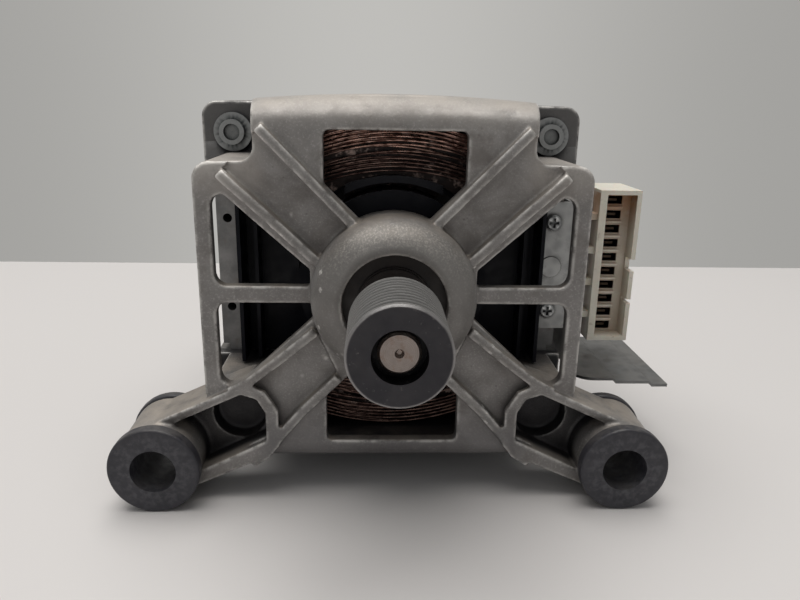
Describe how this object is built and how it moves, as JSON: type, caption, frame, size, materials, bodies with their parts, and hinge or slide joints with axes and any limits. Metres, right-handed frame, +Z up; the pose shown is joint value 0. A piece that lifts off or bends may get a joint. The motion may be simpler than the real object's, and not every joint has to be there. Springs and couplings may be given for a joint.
{
  "type": "washing machine motor",
  "caption": "Brushed electric drive motor with a cast front bracket, ribbed belt pulley, rubber-bushed mounting arms and a multi-way connector on its side.",
  "frame": {"origin": "on the rotor axis, in the middle plane of the belt grooves", "axes": "+Y along the rotor axis from the pulley to the rear, +X to the right seen from the pulley end, +Z up"},
  "size_m": [0.1772, 0.1944, 0.1205],
  "materials": {
    "cast_aluminium": "rough sand-grey casting",
    "bush_rubber": "satin",
    "dark_steel": "blackened, turned",
    "steel": "ground",
    "brass_cage": "pressed",
    "seal_rubber": "matt",
    "spring_steel": "drawn",
    "black_plastic": "moulded",
    "lamination": "stamped sheet stack",
    "copper": "enamelled wire",
    "ivory_plastic": "moulded",
    "contact_brass": "tinned strip",
    "zinc_sheet": "zinc coated sheet",
    "zinc_screw": "zinc plated",
    "holder_plastic": "moulded",
    "carbon": "pressed carbon",
    "magnet": "sintered"
  },
  "bodies": {
    "motor_body": {"front_bracket": "cast_aluminium", "left_mount_bush": "bush_rubber", "right_mount_bush": "bush_rubber", "front_bearing_outer_ring": "steel", "front_bearing_seals": "seal_rubber", "bearing_circlip": "spring_steel", "rear_bearing_outer_ring": "steel", "rear_bearing_seals": "seal_rubber", "stator_core": "lamination", "upper_field_winding": "copper", "lower_field_winding": "copper", "upper_winding_core": "copper", "lower_winding_core": "copper", "front_insulator": "black_plastic", "rear_insulator": "black_plastic", "connector_housing": "ivory_plastic", "connector_terminals": "contact_brass", "connector_bracket": "zinc_sheet", "bracket_screws": "zinc_screw", "cable_guide": "zinc_sheet", "through_bolts": "zinc_screw", "flange_nuts": "zinc_screw", "rear_bracket": "cast_aluminium", "left_brush_holder": "holder_plastic", "right_brush_holder": "holder_plastic", "left_brush_spring": "spring_steel", "right_brush_spring": "spring_steel", "left_brush_cap": "contact_brass", "right_brush_cap": "contact_brass", "brush_screws": "zinc_screw", "tacho_coil": "copper", "tacho_cover": "black_plastic", "thermal_protector": "black_plastic"},
    "rotor": {"shaft": "steel", "pulley": "dark_steel", "bearing_spacer": "steel", "front_bearing_inner_ring": "steel", "fan": "black_plastic", "armature_core": "lamination", "armature_winding": "copper", "commutator": "copper", "rear_bearing_inner_ring": "steel", "tacho_magnet": "magnet"},
    "front_ball_set": {"front_bearing_balls": "steel", "front_bearing_cage": "brass_cage"},
    "rear_ball_set": {"rear_bearing_balls": "steel", "rear_bearing_cage": "brass_cage"},
    "left_brush": {"left_carbon_brush": "carbon"},
    "right_brush": {"right_carbon_brush": "carbon"}
  },
  "joints": [
    {"name": "rotor_spin", "type": "hinge", "parent": "motor_body", "child": "rotor", "pos_m": [0, 0, 0], "axis": [0, 1, 0], "continuous": true},
    {"name": "front_ball_roll", "type": "hinge", "parent": "motor_body", "child": "front_ball_set", "pos_m": [0, 0.0354, 0], "axis": [0, 1, 0], "continuous": true},
    {"name": "rear_ball_roll", "type": "hinge", "parent": "motor_body", "child": "rear_ball_set", "pos_m": [0, 0.1634, 0], "axis": [0, 1, 0], "continuous": true},
    {"name": "left_brush_slide", "type": "slide", "parent": "motor_body", "child": "left_brush", "axis": [-1, 0, 0], "range_m": [0, 0.003], "stiffness_N_per_m": 150, "springref_m": -0.012, "deforming": ["left_brush_spring"]},
    {"name": "right_brush_slide", "type": "slide", "parent": "motor_body", "child": "right_brush", "axis": [1, 0, 0], "range_m": [0, 0.003], "stiffness_N_per_m": 150, "springref_m": -0.012, "deforming": ["right_brush_spring"]}
  ],
  "couplings": [
    {"joint": "front_ball_roll", "follows": "rotor_spin", "ratio": 0.3812},
    {"joint": "rear_ball_roll", "follows": "rotor_spin", "ratio": 0.365}
  ]
}
